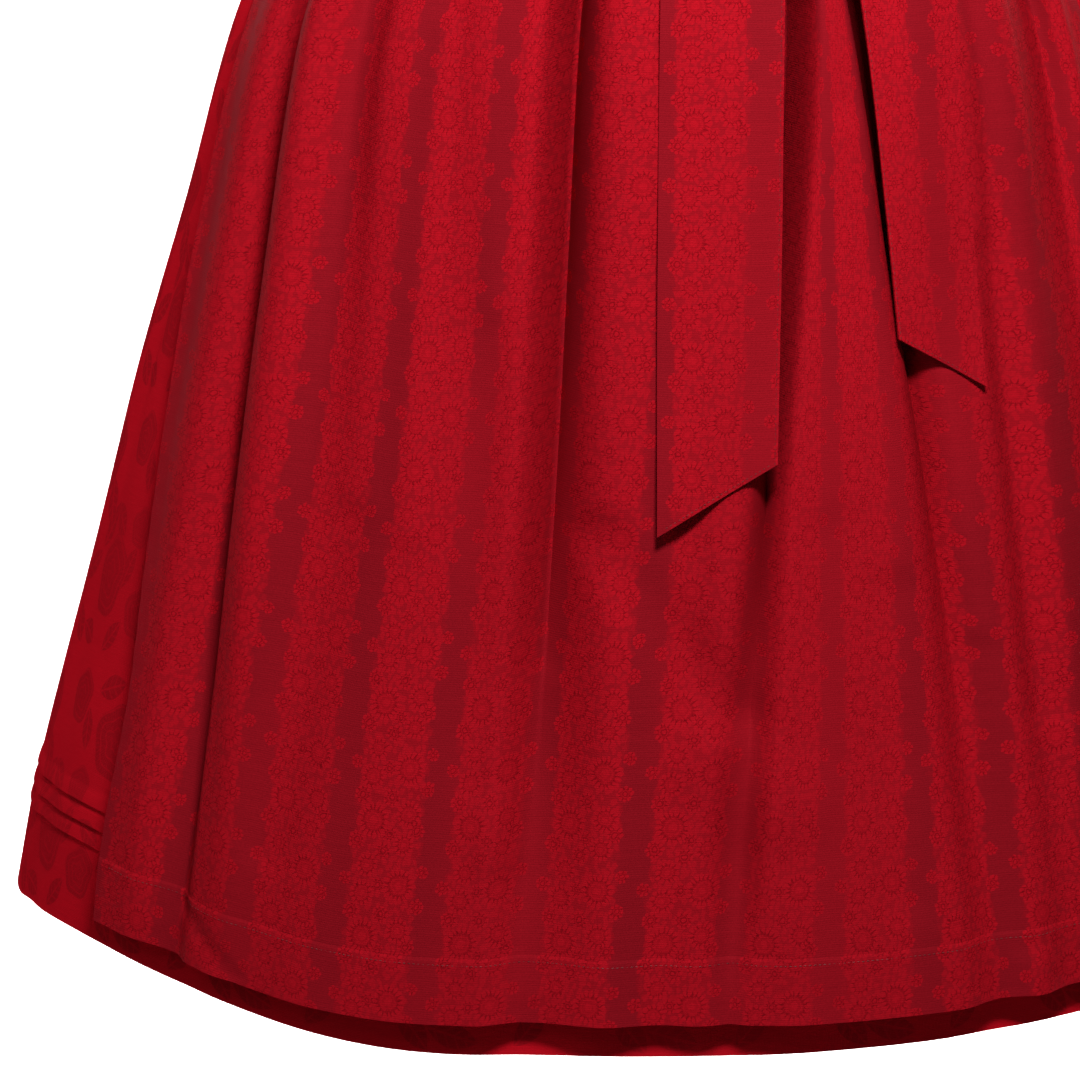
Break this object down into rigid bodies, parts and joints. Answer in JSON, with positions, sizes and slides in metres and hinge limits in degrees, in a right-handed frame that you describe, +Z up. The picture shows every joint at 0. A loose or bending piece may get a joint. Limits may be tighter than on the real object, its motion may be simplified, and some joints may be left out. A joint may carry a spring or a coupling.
{
  "type": "dirndl",
  "caption": "Sleeveless dirndl with a fitted buttoned bodice, a gathered skirt with pintucks, and a gathered apron tied in a bow; hollow as worn.",
  "frame": {"origin": "midway between the two shoulder seams, at their height, where the wearer's shoulders carry the dress", "axes": "+Z up, the front faces -Y, +X to the right of someone who looks at the front"},
  "size_m": [0.7395, 0.59, 1.0711],
  "materials": {
    "skirt_jacquard": "red tone-on-tone rose and leaf jacquard, low sheen",
    "apron_jacquard": "red satin-ground jacquard with columns of small daisies",
    "covered_button": "button covered in the dress cloth"
  },
  "bodies": {
    "root": {"bodice_front_left": "skirt_jacquard", "bodice_side_left": "skirt_jacquard", "bodice_back_left": "skirt_jacquard", "bodice_front_right": "skirt_jacquard", "bodice_side_right": "skirt_jacquard", "bodice_back_right": "skirt_jacquard", "bodice_placket": "skirt_jacquard", "skirt_front": "skirt_jacquard", "skirt_right": "skirt_jacquard", "skirt_back": "skirt_jacquard", "skirt_left": "skirt_jacquard", "button_1": "covered_button", "button_2": "covered_button", "button_3": "covered_button", "button_4": "covered_button", "button_5": "covered_button", "button_6": "covered_button", "apron_panel": "apron_jacquard", "apron_band": "apron_jacquard", "tie_wrap_left": "apron_jacquard", "tie_wrap_right": "apron_jacquard", "bow_knot": "apron_jacquard", "bow_loop_left": "apron_jacquard", "bow_loop_right": "apron_jacquard", "bow_tail_left": "apron_jacquard", "bow_tail_right": "apron_jacquard"}
  },
  "joints": []
}
